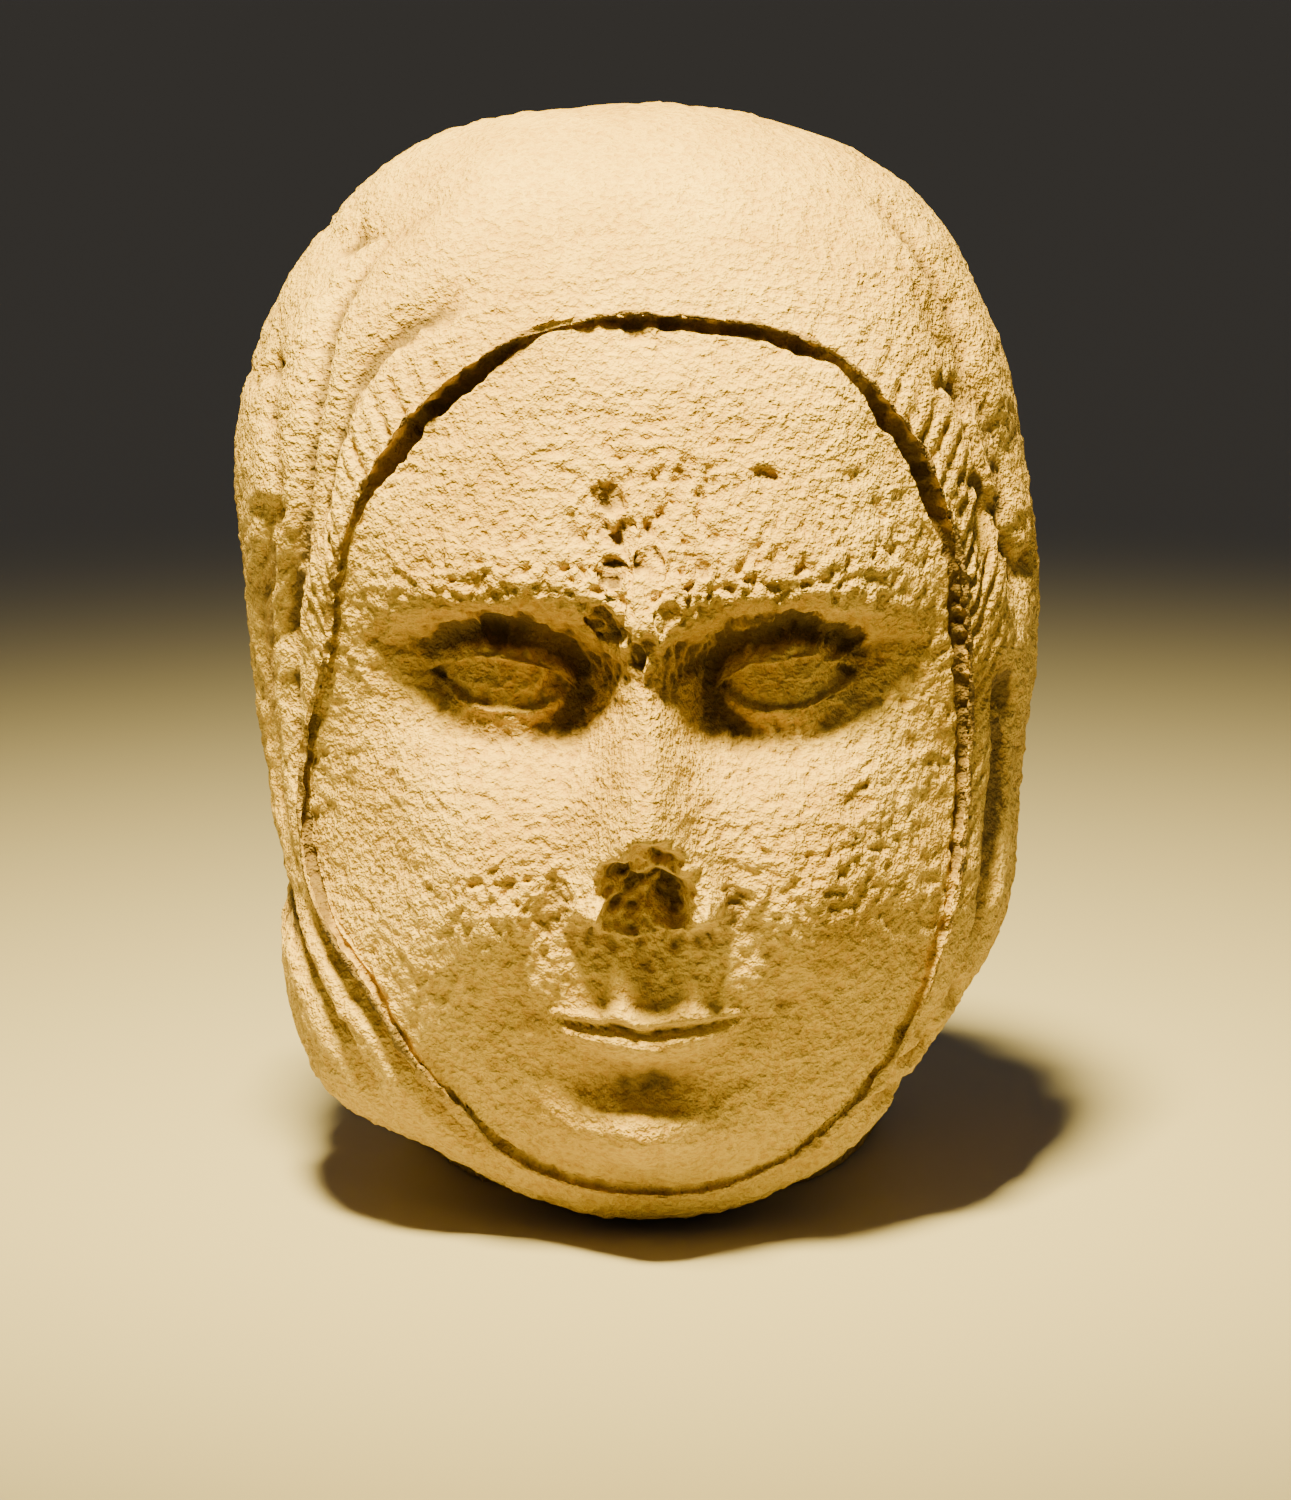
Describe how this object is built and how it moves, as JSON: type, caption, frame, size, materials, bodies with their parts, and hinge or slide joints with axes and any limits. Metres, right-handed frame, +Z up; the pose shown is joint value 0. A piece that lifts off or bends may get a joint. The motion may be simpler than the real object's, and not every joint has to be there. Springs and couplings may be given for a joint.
{
  "type": "carved stone head",
  "caption": "Carved limestone head with a pleated veil and chin cloth, its nose broken, broken off at the neck and standing on a flat underside.",
  "frame": {"origin": "on the flat underside of the neck, below the axis that the head is measured round", "axes": "+Z up to the crown, the face looks along -Y, +X to the viewer's right"},
  "size_m": [0.1157, 0.134, 0.1535],
  "materials": {
    "limestone": "matt, coarse-grained and weathered"
  },
  "bodies": {
    "root": {"veiled_head": "limestone"}
  },
  "joints": []
}
